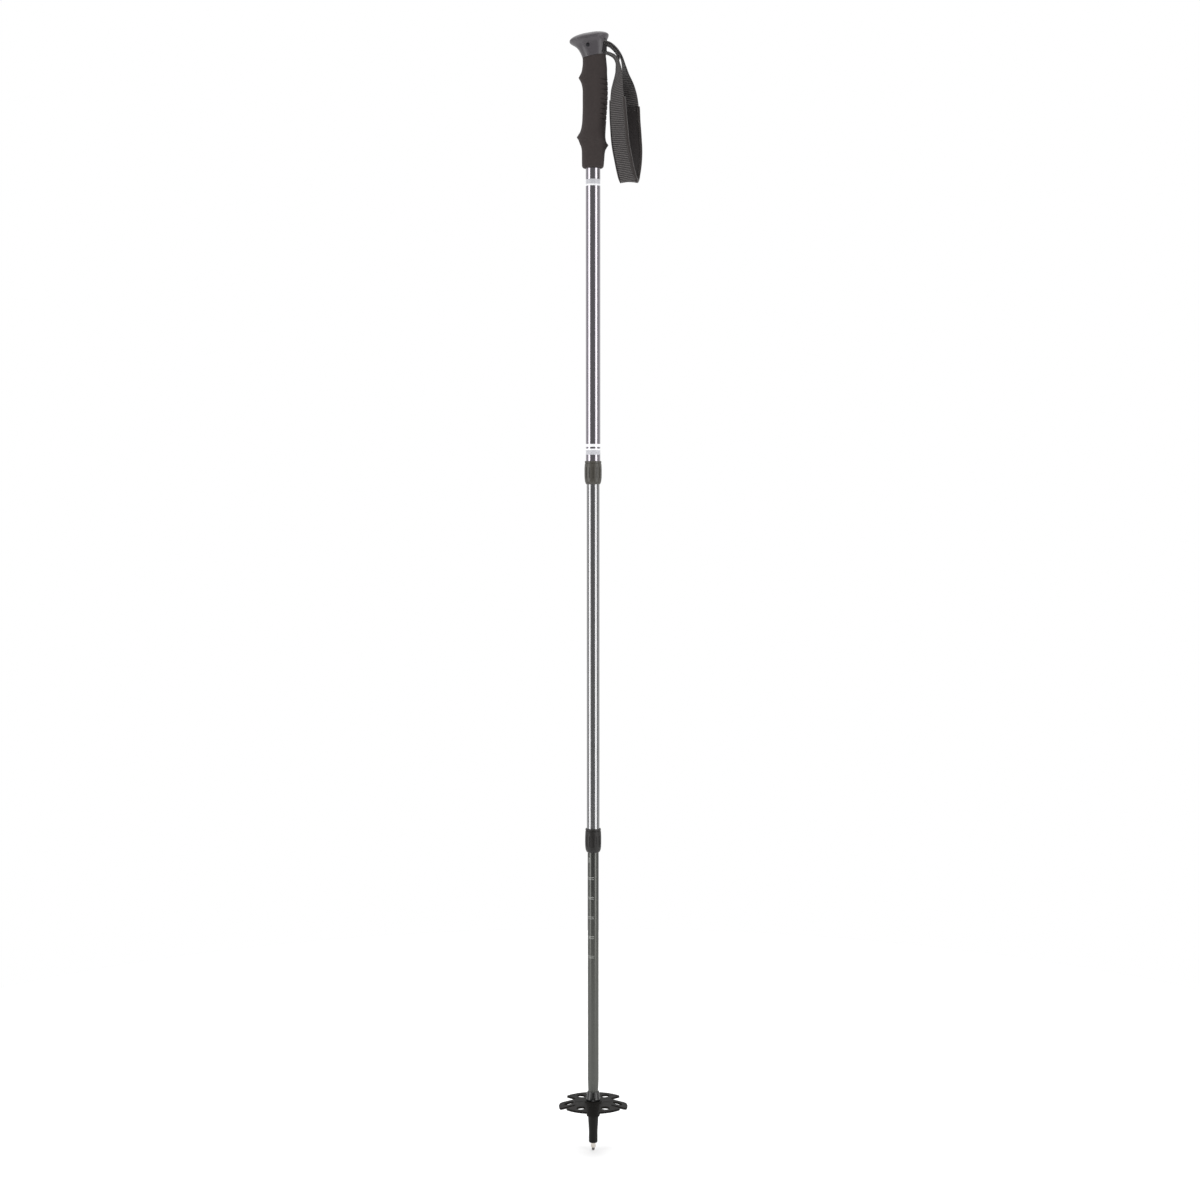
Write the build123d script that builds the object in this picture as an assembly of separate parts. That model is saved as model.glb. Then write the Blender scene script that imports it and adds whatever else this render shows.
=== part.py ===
from build123d import *
import math
import os

# Three-section telescopic ski pole. Millimetres. The pole's axis is Z, the carbide tip
# touches the ground at the origin, +X is the back of the grip (where the strap leaves)
# and -X is the side of the finger rests.

# ---------------------------------------------------------------- driving dimensions
TOTAL_LENGTH = 1400.0
RUNNING = 0.05           # radial clearance of a sliding or turning fit
SEAM_TILT = 10.0         # the grip's cap sits on the foam along a plane tilted by this
SEAM_HEIGHT = TOTAL_LENGTH - 30.0

UPPER_OD = 18.0
MIDDLE_OD = 16.0
LOWER_OD = 14.0
LOWER_END_OD = 12.8      # the lower tube is drawn down where the tip goes on
UPPER_WALL = 0.7
MIDDLE_WALL = 0.7
LOWER_WALL = 0.6

UPPER_COLLAR_LOW = 844.5
UPPER_COLLAR_HEIGHT = 29.0
UPPER_COLLAR_RADIUS = 10.75
LOWER_COLLAR_LOW = 382.0
LOWER_COLLAR_HEIGHT = 30.0
LOWER_COLLAR_RADIUS = 10.15
COLLAR_STEP = 3.5        # height of the guide ring under the tube's end
COLLAR_GROOVES = 14

UPPER_TUBE_TOP = 1364.0
MIDDLE_TUBE_TOP = 895.0
LOWER_TUBE_TOP = 432.0
LOWER_TUBE_LOW = 46.0
SWAGE_LOW = 76.0
SWAGE_HIGH = 91.0

PIN_RADIUS = 2.35
PIN_X = -6.3
PIN_Z = 1382.0
PIN_LENGTH = 26.4

WEBBING_WIDTH = 20.0
WEBBING_THICKNESS = 1.6
LINING_WIDTH = 23.0
LINING_THICKNESS = 1.3
LAYER_GAP = 0.1

BASKET_RADIUS = 43.75
BASKET_TOP = 62.0
BASKET_THICKNESS = 2.6
BASKET_BORE = 7.1
THREAD_RADIUS = 7.0
TONGUE_WIDTH = 25.2
TONGUE_DROOP = 14.0      # degrees that the two side tongues bend down
TONGUE_ROOT = 23.0       # distance from the axis where they start to bend

BASE = (Align.CENTER, Align.CENTER, Align.MIN)


# ------------------------------------------------------------------------- helpers
def cylinder(radius, low, high):
    return Pos(0, 0, low) * Cylinder(radius, high - low, align=BASE)


def tube(outer, inner, low, high):
    return cylinder(outer, low, high) - cylinder(inner, low, high)


def turned(points):
    """A solid of revolution about Z from (radius, height) points."""
    return revolve(Plane.XZ * make_face(Polyline(*points, close=True)), Axis.Z)


def block(low, high):
    """A box between two opposite corners."""
    size = [b - a for a, b in zip(low, high)]
    middle = [(a + b) / 2 for a, b in zip(low, high)]
    return Pos(*middle) * Box(*size)


def oval(plane, front, back, width, roundness):
    """A rounded rectangle on a plane, from x = front to x = back."""
    radius = roundness * min(back - front, width) / 2
    return plane * Pos((front + back) / 2, 0) * RectangleRounded(back - front, width, radius)


def seam_plane(distance):
    """The plane of the cap's seam, moved along its own normal."""
    seam = Plane.XY.rotated((0, -SEAM_TILT, 0))
    origin = Vector(0, 0, SEAM_HEIGHT) + seam.z_dir * distance
    return Plane(origin=origin, x_dir=seam.x_dir, z_dir=seam.z_dir)


# -------------------------------------------------------------------- tubes, collars
def upper_tube():
    return tube(UPPER_OD / 2, UPPER_OD / 2 - UPPER_WALL, UPPER_COLLAR_LOW + COLLAR_STEP,
                UPPER_TUBE_TOP)


def middle_tube():
    return tube(MIDDLE_OD / 2, MIDDLE_OD / 2 - MIDDLE_WALL, LOWER_COLLAR_LOW + COLLAR_STEP,
                MIDDLE_TUBE_TOP)


def lower_tube():
    outer = LOWER_OD / 2
    inner = outer - LOWER_WALL
    end = LOWER_END_OD / 2
    return turned([
        (outer, LOWER_TUBE_TOP), (outer, SWAGE_HIGH), (end, SWAGE_LOW), (end, LOWER_TUBE_LOW),
        (end - LOWER_WALL, LOWER_TUBE_LOW), (end - LOWER_WALL, SWAGE_LOW),
        (inner, SWAGE_HIGH), (inner, LOWER_TUBE_TOP),
    ])


def collar(low, height, radius, tube_radius, shaft_radius):
    """The plastic sleeve on a tube's lower end: it wipes and guides the next tube."""
    top = low + height
    lip = radius - 0.45
    guide = shaft_radius + 2 * RUNNING
    body = turned([
        (guide, low), (guide + 0.5, low), (radius - 1.45, low + 1.1), (radius - 0.65, low + 3.4),
        (radius - 0.15, low + 7.0), (radius, low + 12.0), (radius, low + 19.0),
        (radius - 0.3, top - 3.6), (lip - 0.35, top - 3.2), (lip - 0.35, top - 2.8),
        (lip, top - 2.4), (lip, top - 0.6), (lip - 0.4, top), (tube_radius, top),
        (tube_radius, low + COLLAR_STEP), (guide, low + COLLAR_STEP),
    ])
    groove = block((radius - 0.6, -0.5, low + 7.5), (radius + 2, 0.5, low + 21.5))
    for i in range(COLLAR_GROOVES):
        body -= Rot(0, 0, (i + 0.5) * 360 / COLLAR_GROOVES) * groove
    return body


def upper_collar():
    return collar(UPPER_COLLAR_LOW, UPPER_COLLAR_HEIGHT, UPPER_COLLAR_RADIUS, UPPER_OD / 2,
                  MIDDLE_OD / 2)


def lower_collar():
    return collar(LOWER_COLLAR_LOW, LOWER_COLLAR_HEIGHT, LOWER_COLLAR_RADIUS, MIDDLE_OD / 2,
                  LOWER_OD / 2)


# ------------------------------------------------------------- twist-lock mechanisms
SPINDLE_RADIUS = 2.5
SPINDLE_REACH = 45.0     # from the tube's end to the top of the stop nut
PLUG_DEPTH = 22.0
FLANGE = 2.0
EXPANDER_LOW = 2.6       # heights above the tube's end
EXPANDER_HIGH = 38.0
EXPANDER_SOLID = 12.0
CONE_LOW = 22.0
CONE_SLOPE = 0.12        # radius gained per mm of height
SLOT_WIDTH = 1.4


def end_plug(tube_radius, bore_radius, top):
    """Pressed into the tube's end; its flange keeps the expander off the tube."""
    plug = cylinder(bore_radius, top - PLUG_DEPTH, top)
    plug += cylinder(tube_radius - 0.2, top, top + FLANGE)
    return plug - cylinder(SPINDLE_RADIUS, top - PLUG_DEPTH, top + FLANGE)


def spindle(top):
    """The threaded rod that stands out of the plug, with a moulded-in head below."""
    rod = cylinder(SPINDLE_RADIUS, top - PLUG_DEPTH - 1, top + SPINDLE_REACH)
    return rod + Pos(0, 0, top - PLUG_DEPTH - 5) * extrude(RegularPolygon(4.2, 6), 4)


def stop_nut(top):
    """Hexagon nut that keeps the cone on the spindle."""
    nut = Pos(0, 0, top + SPINDLE_REACH - 4) * extrude(RegularPolygon(4.6, 6), 4)
    return nut - cylinder(SPINDLE_RADIUS, top, top + SPINDLE_REACH)


def cone_mouth(outer_radius):
    """Radius of the expander's conical mouth at its top."""
    return outer_radius - 1.3


def expander(outer_radius, top):
    """Split plastic sleeve that the cone spreads against the tube around it."""
    mouth = cone_mouth(outer_radius)
    throat = mouth - CONE_SLOPE * (EXPANDER_HIGH - CONE_LOW)
    guide = SPINDLE_RADIUS + 1.5 * RUNNING
    body = turned([
        (guide, top + EXPANDER_LOW), (outer_radius, top + EXPANDER_LOW),
        (outer_radius, top + EXPANDER_HIGH), (mouth, top + EXPANDER_HIGH),
        (throat, top + CONE_LOW), (throat, top + EXPANDER_SOLID), (guide, top + EXPANDER_SOLID),
    ])
    slot = block((-outer_radius - 1, -SLOT_WIDTH / 2, top + EXPANDER_SOLID + 2),
                 (outer_radius + 1, SLOT_WIDTH / 2, top + EXPANDER_HIGH + 1))
    return body - slot - Rot(0, 0, 90) * slot


def cone(outer_radius, top):
    """Threaded cone in the expander; two keys in the slots keep it from turning."""
    high = EXPANDER_HIGH - 0.5
    low = CONE_LOW + 1.5
    mouth = cone_mouth(outer_radius) - RUNNING
    wide = mouth - CONE_SLOPE * (EXPANDER_HIGH - high)
    narrow = mouth - CONE_SLOPE * (EXPANDER_HIGH - low)
    hole = SPINDLE_RADIUS + 1.5 * RUNNING
    body = turned([(hole, top + low), (narrow, top + low), (wide, top + high), (hole, top + high)])
    key_width = SLOT_WIDTH - 0.4
    key = block((wide - 1.2, -key_width / 2, top + low + 3),
                (outer_radius - 0.4, key_width / 2, top + high))
    return body + key + Rot(0, 0, 180) * key


def lock_pieces(section, tube_od, wall, outer_bore, top):
    """The five pieces of one twist lock, by node name."""
    grip_radius = outer_bore / 2 - RUNNING
    return {
        section + "_end_plug": end_plug(tube_od / 2, tube_od / 2 - wall, top),
        section + "_spindle": spindle(top),
        section + "_stop_nut": stop_nut(top),
        section + "_expander": expander(grip_radius, top),
        section + "_cone": cone(grip_radius, top),
    }


# -------------------------------------------------------------------------- the grip
FOAM_BOTTOM = 1234.0
STEM_LOW = 1325.0
STEM_RADIUS = 11.0
# height, front and back of the foam, and its width: the sections that its shape turns at
FOAM_SECTIONS = [
    (FOAM_BOTTOM, -11.6, 11.4, 23.0),
    (FOAM_BOTTOM + 3, -13.7, 13.2, 26.4),
    (1252.6, -13.8, 14.2, 27.0),
    (1258.5, -14.6, 16.2, 28.4),
    (1262.0, -15.6, 18.2, 30.4),
    (1266.0, -16.8, 16.2, 31.4),
    (1271.6, -19.4, 15.3, 30.0),
    (1277.9, -15.9, 15.3, 28.2),
    (1288.0, -13.4, 15.9, 27.6),
    (1309.0, -12.8, 17.6, 28.0),
    (1334.0, -13.4, 18.2, 28.6),
    (1344.0, -17.2, 17.6, 29.0),
    (1354.0, -13.6, 17.4, 28.0),
    (1365.0, -12.7, 16.4, 27.4),
    (1380.0, -13.0, 14.6, 27.0),
]
# distance above the seam, front and back of the cap, and its width
CAP_SECTIONS = [
    (0.0, -12.9, 15.4, 27.0),
    (4.0, -13.6, 16.6, 27.8),
    (8.0, -14.6, 17.7, 28.6),
    (12.0, -16.2, 18.7, 29.8),
    (15.5, -18.6, 19.8, 32.0),
    (18.5, -21.9, 21.4, 35.4),
    (21.0, -24.6, 23.0, 38.6),
    (22.4, -25.3, 23.5, 39.6),
]
DOME_HEIGHT = 6.8
DOME_STEPS = (0, 9, 18, 27, 36, 45, 54, 62, 69, 75, 80, 84)   # degrees up its rounded edge
CAVITY_LOW = 1373.2
CAVITY_HIGH = 1389.2
RECESS_X = 13.2


def grip_foam():
    """Foam sleeve over the upper tube and the cap's stem."""
    sections = [oval(Plane.XY.offset(z), front, back, width, 0.86)
                for z, front, back, width in FOAM_SECTIONS]
    body = loft(sections, ruled=True)
    above = seam_plane(0) * Box(100, 100, 40, align=BASE)
    body -= above
    body -= cylinder(UPPER_OD / 2, FOAM_BOTTOM - 1, STEM_LOW)
    return body - cylinder(STEM_RADIUS, STEM_LOW, TOTAL_LENGTH)


def cap_dome():
    """The cap's rounded top, an ellipse from the rim to its middle."""
    rim, front, back, width = CAP_SECTIONS[-1]
    middle, half = (front + back) / 2, (back - front) / 2
    sections = []
    for angle in map(math.radians, DOME_STEPS):
        plane = seam_plane(rim + DOME_HEIGHT * math.sin(angle))
        share = math.cos(angle)
        sections.append(oval(plane, middle - half * share, middle + half * share, width * share, 0.86))
    return loft(sections, ruled=True)


def grip_cap():
    """Hard duck-bill head with a stem around the tube, and a rear cavity for the strap."""
    sections = [oval(seam_plane(d), front, back, width, 0.86)
                for d, front, back, width in CAP_SECTIONS]
    body = loft(sections) + cap_dome()
    body += cylinder(STEM_RADIUS, STEM_LOW, SEAM_HEIGHT + 2)
    body -= cylinder(UPPER_OD / 2, STEM_LOW - 1, UPPER_TUBE_TOP + 0.3)
    back = RECESS_X + 1
    body -= across([(PIN_X - 4.7, CAVITY_LOW + 4.3), (PIN_X + 1.3, CAVITY_LOW + 3.4), (back, CAVITY_LOW),
                    (back, CAVITY_HIGH), (PIN_X - 4.7, CAVITY_HIGH)], WEBBING_WIDTH + 0.8)
    body -= across([(0, CAVITY_LOW + 2.8), (back, CAVITY_LOW), (back, CAVITY_HIGH), (0, CAVITY_HIGH)],
                   WEBBING_WIDTH + 2.8)
    body -= block((RECESS_X, -30, CAVITY_LOW), (30, 30, CAVITY_HIGH + 1.2))
    return body - Pos(PIN_X, 0, PIN_Z) * Rot(90, 0, 0) * Cylinder(PIN_RADIUS, 60)


def strap_pin():
    """Dowel across the cap that the webbing loops around."""
    pin = Pos(PIN_X, 0, PIN_Z) * Rot(90, 0, 0) * Cylinder(PIN_RADIUS, PIN_LENGTH)
    return chamfer(pin.edges().filter_by(GeomType.CIRCLE), 0.4)


def across(points, width):
    """A prism across the grip from an outline in the XZ plane."""
    return extrude(Plane.XZ * make_face(Polyline(*points, close=True)), width / 2, both=True)


EXIT_X = 17.4
UPPER_EXIT = (1384.7, 1388.2)
LOWER_EXIT = (1373.5, 1375.1)


def strap_inner_loop():
    """The webbing inside the cap: in at the top, around the pin and out below."""
    inner = PIN_RADIUS + 0.15
    outer = inner + WEBBING_THICKNESS
    ring = Plane.XZ * (Pos(PIN_X, PIN_Z) * (Circle(outer) - Circle(inner)))
    bend = extrude(ring, WEBBING_WIDTH / 2, both=True)
    bend -= block((PIN_X, -20, PIN_Z - 10), (PIN_X + 10, 20, PIN_Z + 10))
    upper = across([(PIN_X, PIN_Z + inner), (EXIT_X, UPPER_EXIT[0]), (EXIT_X, UPPER_EXIT[1]),
                    (PIN_X, PIN_Z + outer)], WEBBING_WIDTH)
    lower = across([(PIN_X, PIN_Z - outer), (EXIT_X, LOWER_EXIT[0]), (EXIT_X, LOWER_EXIT[1]),
                    (PIN_X, PIN_Z - inner)], WEBBING_WIDTH)
    return bend + upper + lower


def strap_wedge():
    """Pushed in between the two strands, it locks the webbing at its length."""
    body = across([(0.5, 1379.4), (17.0, 1375.8), (17.0, 1380.8), (14.0, 1383.6), (0.5, 1383.8)],
                  WEBBING_WIDTH + 1.6)
    thumb = block((16.2, -6, 1378.0), (18, 6, 1379.0))
    return body - thumb


# ------------------------------------------------------------------------- the strap
# Where the webbing runs once it leaves the cap: x, y, z and how far it has twisted about
# the vertical, in degrees. Out below the wedge, down the near side, round the bottom
# fold and up the far side to the exit above the wedge.
NEAR_SIDE = [
    (18.6, 0.0, 1374.1, 0), (22.1, -0.2, 1372.6, 2), (25.8, -0.8, 1369.9, 5),
    (28.4, -2.0, 1366.0, 8), (30.4, -5.5, 1356.5, 15), (30.7, -9.5, 1347.4, 24),
    (29.9, -13.5, 1338.0, 34), (29.2, -17.5, 1328.4, 44), (29.4, -20.5, 1316.0, 55),
    (30.3, -22.5, 1299.0, 66), (31.6, -22.5, 1281.0, 74), (33.4, -20.0, 1262.0, 80),
    (37.1, -14.0, 1243.0, 85), (40.6, -7.5, 1228.0, 88), (42.6, -4.6, 1221.5, 90),
]
BOTTOM_FOLD = [(44.5, 0.0, 1218.0, 90)]
FAR_SIDE = [
    (46.0, 4.6, 1221.5, 90), (47.2, 7.0, 1228.0, 90), (48.9, 12.0, 1240.0, 90),
    (49.8, 16.5, 1256.0, 90), (49.0, 19.5, 1274.7, 89), (47.6, 20.5, 1295.0, 84),
    (47.0, 18.5, 1312.0, 75), (45.3, 15.0, 1327.0, 60), (43.2, 11.0, 1338.0, 44),
    (40.6, 7.0, 1348.0, 26), (38.2, 3.0, 1359.0, 10), (34.0, 0.4, 1371.6, 2),
    (27.2, 0.0, 1381.0, 0), (18.8, 0.0, 1386.6, 0),
]
STRAP_PATH = NEAR_SIDE + BOTTOM_FOLD + FAR_SIDE
LINING_FIRST = 8         # the lined stretch, as places in STRAP_PATH
LINING_LAST = 22


def strap_frames(path):
    """At each point of the path: its place, the width's direction and the inward normal."""
    frames = []
    for i, (x, y, z, twist) in enumerate(path):
        before = Vector(*path[max(i - 1, 0)][:3])
        after = Vector(*path[min(i + 1, len(path) - 1)][:3])
        along = (after - before).normalized()
        angle = math.radians(twist)
        width = Vector(-math.sin(angle), math.cos(angle), 0)
        width = (width - along * width.dot(along)).normalized()
        frames.append((Vector(x, y, z), width, along.cross(width)))
    return frames


def band(frames, width, thickness, offset):
    """A ribbon through the frames, moved inward by offset, one straight-sided span at a time."""
    sections = []
    for place, across_way, inward in frames:
        plane = Plane(origin=place + inward * offset, x_dir=across_way,
                      z_dir=across_way.cross(inward))
        sections.append(plane * Rectangle(width, thickness))
    body = loft(sections[:2], ruled=True)
    for i in range(1, len(sections) - 1):
        body += loft(sections[i:i + 2], ruled=True)
    return body


def strap_webbing():
    return band(strap_frames(STRAP_PATH), WEBBING_WIDTH, WEBBING_THICKNESS, 0)


def strap_lining():
    frames = strap_frames(STRAP_PATH)[LINING_FIRST:LINING_LAST + 1]
    offset = (WEBBING_THICKNESS + LINING_THICKNESS) / 2 + LAYER_GAP
    return band(frames, LINING_WIDTH, LINING_THICKNESS, offset)


def strap_tail():
    """The webbing's own end, doubled back from the upper exit to the near side."""
    path = [(31.3, -2.2, 1364.0, 8), (31.2, -0.8, 1369.0, 5), (29.2, 0.2, 1374.4, 2),
            (25.2, 0.2, 1379.2, 0), (19.0, 0.0, 1384.0, 0)]
    return band(strap_frames(path), WEBBING_WIDTH, WEBBING_THICKNESS - 0.2, 0)


# ------------------------------------------------------------------ tip and basket
FERRULE_RADIUS = 3.0
CARBIDE_RADIUS = 1.85
SLEEVE_LOW = 10.0
SLEEVE_RADIUS = 5.55
SHOULDER = 64.0          # where the basket's hub meets the ribbed stop collar
LUG_LOW = 50.0
LUG_HIGH = 52.0
LUG_RADIUS = 7.7


def carbide_tip():
    return turned([(0, 0), (1.3, 0), (CARBIDE_RADIUS, 0.9), (CARBIDE_RADIUS, 8), (0, 8)])


def tip_ferrule():
    return turned([
        (CARBIDE_RADIUS, 3.5), (2.5, 3.5), (FERRULE_RADIUS, 4.2), (FERRULE_RADIUS, 20), (0, 20),
        (0, 8), (CARBIDE_RADIUS, 8),
    ])


def tip_sleeve():
    """Plastic tip on the tube's drawn-down end, with two bayonet lugs for the basket."""
    body = turned([
        (FERRULE_RADIUS, SLEEVE_LOW), (4.7, SLEEVE_LOW), (SLEEVE_RADIUS - 0.2, SLEEVE_LOW + 0.8),
        (SLEEVE_RADIUS, 12), (SLEEVE_RADIUS, 24), (6.65, 43.8), (6.65, 46), (THREAD_RADIUS, 47),
        (THREAD_RADIUS, SHOULDER - 0.3), (LOWER_END_OD / 2, SHOULDER - 0.3),
        (LOWER_END_OD / 2, LOWER_TUBE_LOW), (0, LOWER_TUBE_LOW), (0, 20), (FERRULE_RADIUS, 20),
    ])
    lugs = cylinder(LUG_RADIUS, LUG_LOW, LUG_HIGH) - cylinder(THREAD_RADIUS - 0.2, LUG_LOW, LUG_HIGH)
    return body + (lugs & block((-10, -2.5, LUG_LOW), (10, 2.5, LUG_HIGH)))


def basket_stop_collar():
    """Glossy ribbed collar above the basket, pressed on the tube's drawn-down end."""
    body = turned([
        (LOWER_END_OD / 2, SHOULDER), (8.9, SHOULDER), (9.3, 65.0), (9.3, 66.6), (8.8, 69.5),
        (7.9, 74.4), (7.5, 75.6), (6.9, 76.2), (6.6, 76.2), (LOWER_END_OD / 2, SHOULDER + 11.8),
    ])
    notch = Pos(9.6, 0, 0) * Cylinder(1.0, 9.0, align=BASE)
    for i in range(12):
        body -= Rot(0, 0, i * 30 + 15) * Pos(0, 0, 67.2) * Rot(0, -10, 0) * notch
    return body


# one of the four gaps that open out between a side tongue and a petal
SLOT_OUTLINE = [(24.6, 12.6), (23.2, 13.4), (22.8, 14.9), (23.3, 16.6), (24.8, 18.2), (33.4, 26.4),
                (60.0, 50.0), (60.0, 12.6)]


def petal_outline():
    """The basket's plan: a disc with U notches front and back and four slots at the sides."""
    outline = Circle(BASKET_RADIUS)
    for side in (1, -1):
        notch = Pos(0, side * 32) * Rectangle(13.4, 26) + Pos(0, side * 19) * Circle(6.7)
        outline -= notch
        for end in (1, -1):
            slot = Polyline(*((end * x, side * y) for x, y in SLOT_OUTLINE), close=True)
            outline -= make_face(slot)
    return outline


def leaf(outline, corner_radius):
    """A plate of the basket with rounded rim corners and a broken top edge."""
    plate = extrude(outline, BASKET_THICKNESS)
    corners = [edge for edge in plate.edges().filter_by(Axis.Z)
               if math.hypot(edge.center().X, edge.center().Y) > BASKET_RADIUS - 1]
    plate = fillet(corners, corner_radius)
    return chamfer(plate.edges().group_by(Axis.Z)[-1], 0.35)


def snow_hole(angle):
    """An oval hole, long way outwards."""
    return Rot(0, 0, angle) * Pos(30.5, 0) * Ellipse(6.2, 5.0)


def basket():
    """Snow basket: four petals and two drooping side tongues around a bayonet hub."""
    low = BASKET_TOP - BASKET_THICKNESS
    outline = petal_outline()
    for i in range(6):
        outline -= snow_hole(i * 60)
    wide = Rectangle(200, TONGUE_WIDTH)
    petals = outline - (wide - Rectangle(2 * TONGUE_ROOT, TONGUE_WIDTH))
    body = Pos(0, 0, low) * leaf(petals, 2.0)
    for side in (1, -1):
        strip = Pos(side * (TONGUE_ROOT + 50 - 1.2), 0) * Rectangle(100, TONGUE_WIDTH)
        tongue = leaf(outline & strip, 5.0)
        hinge = Pos(side * TONGUE_ROOT, 0, low)
        tongue = hinge * Rot(0, side * TONGUE_DROOP, 0) * Pos(-side * TONGUE_ROOT, 0, 0) * tongue
        body += tongue & cylinder(60, 0, BASKET_TOP)
    body += turned([(BASKET_BORE, low), (11.6, low), (11.2, BASKET_TOP), (10.6, SHOULDER - 0.5),
                    (10.2, SHOULDER - 0.2), (BASKET_BORE, SHOULDER - 0.2)])
    body += turned([(BASKET_BORE, 44.2), (8.1, 44.2), (8.5, 45.5), (9.1, 53.5), (9.9, low + 0.2),
                    (BASKET_BORE, low + 0.2)])
    for side in (1, -1):
        body -= block((17.5 * side - 5.2, -0.5, low - 1), (17.5 * side + 5.2, 0.5, BASKET_TOP + 1))
    body -= cylinder(BASKET_BORE, 40, 70)
    body -= cylinder(LUG_RADIUS + 0.15, LUG_LOW - 0.15, LUG_HIGH + 0.15)
    entry = cylinder(LUG_RADIUS + 0.15, 44, LUG_LOW + 1)
    return body - (entry & block((-3, -10, 44), (3, 10, LUG_LOW + 1)))


# ---------------------------------------------------------------------------- export
def all_parts():
    parts = {
        "upper_tube": upper_tube(),
        "upper_collar": upper_collar(),
        "grip_foam": grip_foam(),
        "grip_cap": grip_cap(),
        "strap_pin": strap_pin(),
        "strap_inner_loop": strap_inner_loop(),
        "strap_wedge": strap_wedge(),
        "strap_webbing": strap_webbing(),
        "strap_lining": strap_lining(),
        "strap_tail": strap_tail(),
        "middle_tube": middle_tube(),
        "lower_collar": lower_collar(),
        "lower_tube": lower_tube(),
        "tip_sleeve": tip_sleeve(),
        "tip_ferrule": tip_ferrule(),
        "carbide_tip": carbide_tip(),
        "basket": basket(),
        "basket_stop_collar": basket_stop_collar(),
    }
    parts.update(lock_pieces("middle", MIDDLE_OD, MIDDLE_WALL, UPPER_OD - 2 * UPPER_WALL,
                             MIDDLE_TUBE_TOP))
    parts.update(lock_pieces("lower", LOWER_OD, LOWER_WALL, MIDDLE_OD - 2 * MIDDLE_WALL,
                             LOWER_TUBE_TOP))
    return parts


os.makedirs("parts", exist_ok=True)
for node, shape in all_parts().items():
    export_step(shape, f"parts/{node}.step")
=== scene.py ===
import math

import bmesh
import bpy
import numpy as np
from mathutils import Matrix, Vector


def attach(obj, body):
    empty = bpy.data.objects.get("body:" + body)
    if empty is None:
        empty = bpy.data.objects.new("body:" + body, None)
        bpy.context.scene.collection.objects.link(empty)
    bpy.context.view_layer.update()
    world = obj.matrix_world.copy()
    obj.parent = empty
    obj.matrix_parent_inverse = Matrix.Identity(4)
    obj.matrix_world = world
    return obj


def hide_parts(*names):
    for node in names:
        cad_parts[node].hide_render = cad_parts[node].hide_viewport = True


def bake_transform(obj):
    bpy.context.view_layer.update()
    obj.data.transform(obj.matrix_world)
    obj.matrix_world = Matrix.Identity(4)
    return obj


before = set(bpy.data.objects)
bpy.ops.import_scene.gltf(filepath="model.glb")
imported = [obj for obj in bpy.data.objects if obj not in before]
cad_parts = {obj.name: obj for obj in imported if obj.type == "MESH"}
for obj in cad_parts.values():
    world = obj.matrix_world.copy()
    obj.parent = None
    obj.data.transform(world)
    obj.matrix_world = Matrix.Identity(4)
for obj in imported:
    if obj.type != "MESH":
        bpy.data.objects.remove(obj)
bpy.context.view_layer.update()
MM = 0.001


# ------------------------------------------------------------------ shader helpers
class Shader:
    """A node material with a Principled surface, and short calls to add nodes to it."""

    def __init__(self, name, color, roughness, metallic=0.0):
        self.material = bpy.data.materials.new(name)
        self.material.use_nodes = True
        self.tree = self.material.node_tree
        self.surface = self.tree.nodes["Principled BSDF"]
        self.surface.inputs["Base Color"].default_value = (*color, 1)
        self.surface.inputs["Roughness"].default_value = roughness
        self.surface.inputs["Metallic"].default_value = metallic
        self.material.diffuse_color = (*color, 1)

    def set(self, **values):
        for name, value in values.items():
            self.surface.inputs[name.replace("_", " ")].default_value = value
        return self

    def node(self, kind, **inputs):
        node = self.tree.nodes.new(kind)
        for name, value in inputs.items():
            self.feed(node.inputs[name.replace("_", " ")], value)
        return node

    def feed(self, socket, value):
        if isinstance(value, bpy.types.NodeSocket):
            self.tree.links.new(value, socket)
        else:
            socket.default_value = value

    def to_surface(self, name, value):
        self.feed(self.surface.inputs[name], value)

    def math(self, operation, a, b=0.0):
        node = self.tree.nodes.new("ShaderNodeMath")
        node.operation = operation
        self.feed(node.inputs[0], a)
        self.feed(node.inputs[1], b)
        return node.outputs[0]

    def position(self):
        return self.node("ShaderNodeTexCoord").outputs["Object"]

    def stretched(self, x, y, z):
        node = self.node("ShaderNodeMapping", Vector=self.position())
        node.inputs["Scale"].default_value = (x, y, z)
        return node.outputs[0]

    def noise(self, vector, scale, detail=3.0, rough=0.55):
        node = self.node("ShaderNodeTexNoise", Vector=vector, Scale=scale, Detail=detail, Roughness=rough)
        return node.outputs["Fac"]

    def ramp(self, value, low, high, start=0.0, end=1.0):
        node = self.node("ShaderNodeMapRange", Value=value)
        self.feed(node.inputs["From Min"], start)
        self.feed(node.inputs["From Max"], end)
        self.feed(node.inputs["To Min"], low)
        self.feed(node.inputs["To Max"], high)
        return node.outputs[0]

    def mix(self, share, a, b):
        node = self.tree.nodes.new("ShaderNodeMix")
        node.data_type = "RGBA"
        self.feed(node.inputs["Factor"], share)
        for socket, value in ((node.inputs[6], a), (node.inputs[7], b)):
            self.feed(socket, value if isinstance(value, bpy.types.NodeSocket) else (*value, 1))
        return node.outputs[2]

    def bump(self, height, strength, distance):
        node = self.node("ShaderNodeBump", Height=height, Strength=strength, Distance=distance)
        self.feed(self.surface.inputs["Normal"], node.outputs[0])

    def between(self, value, low, high):
        return self.math("MULTIPLY", self.math("GREATER_THAN", value, low),
                         self.math("LESS_THAN", value, high))


def shade(color, factor):
    return tuple(min(1.0, c * factor) for c in color)


def wear(shader, color, scale, spread):
    """Cloudy colour variation over the whole surface."""
    cloud = shader.noise(shader.position(), scale, 4.0)
    mixed = shader.mix(cloud, shade(color, 1 - spread), shade(color, 1 + spread))
    shader.to_surface("Base Color", mixed)


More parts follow.
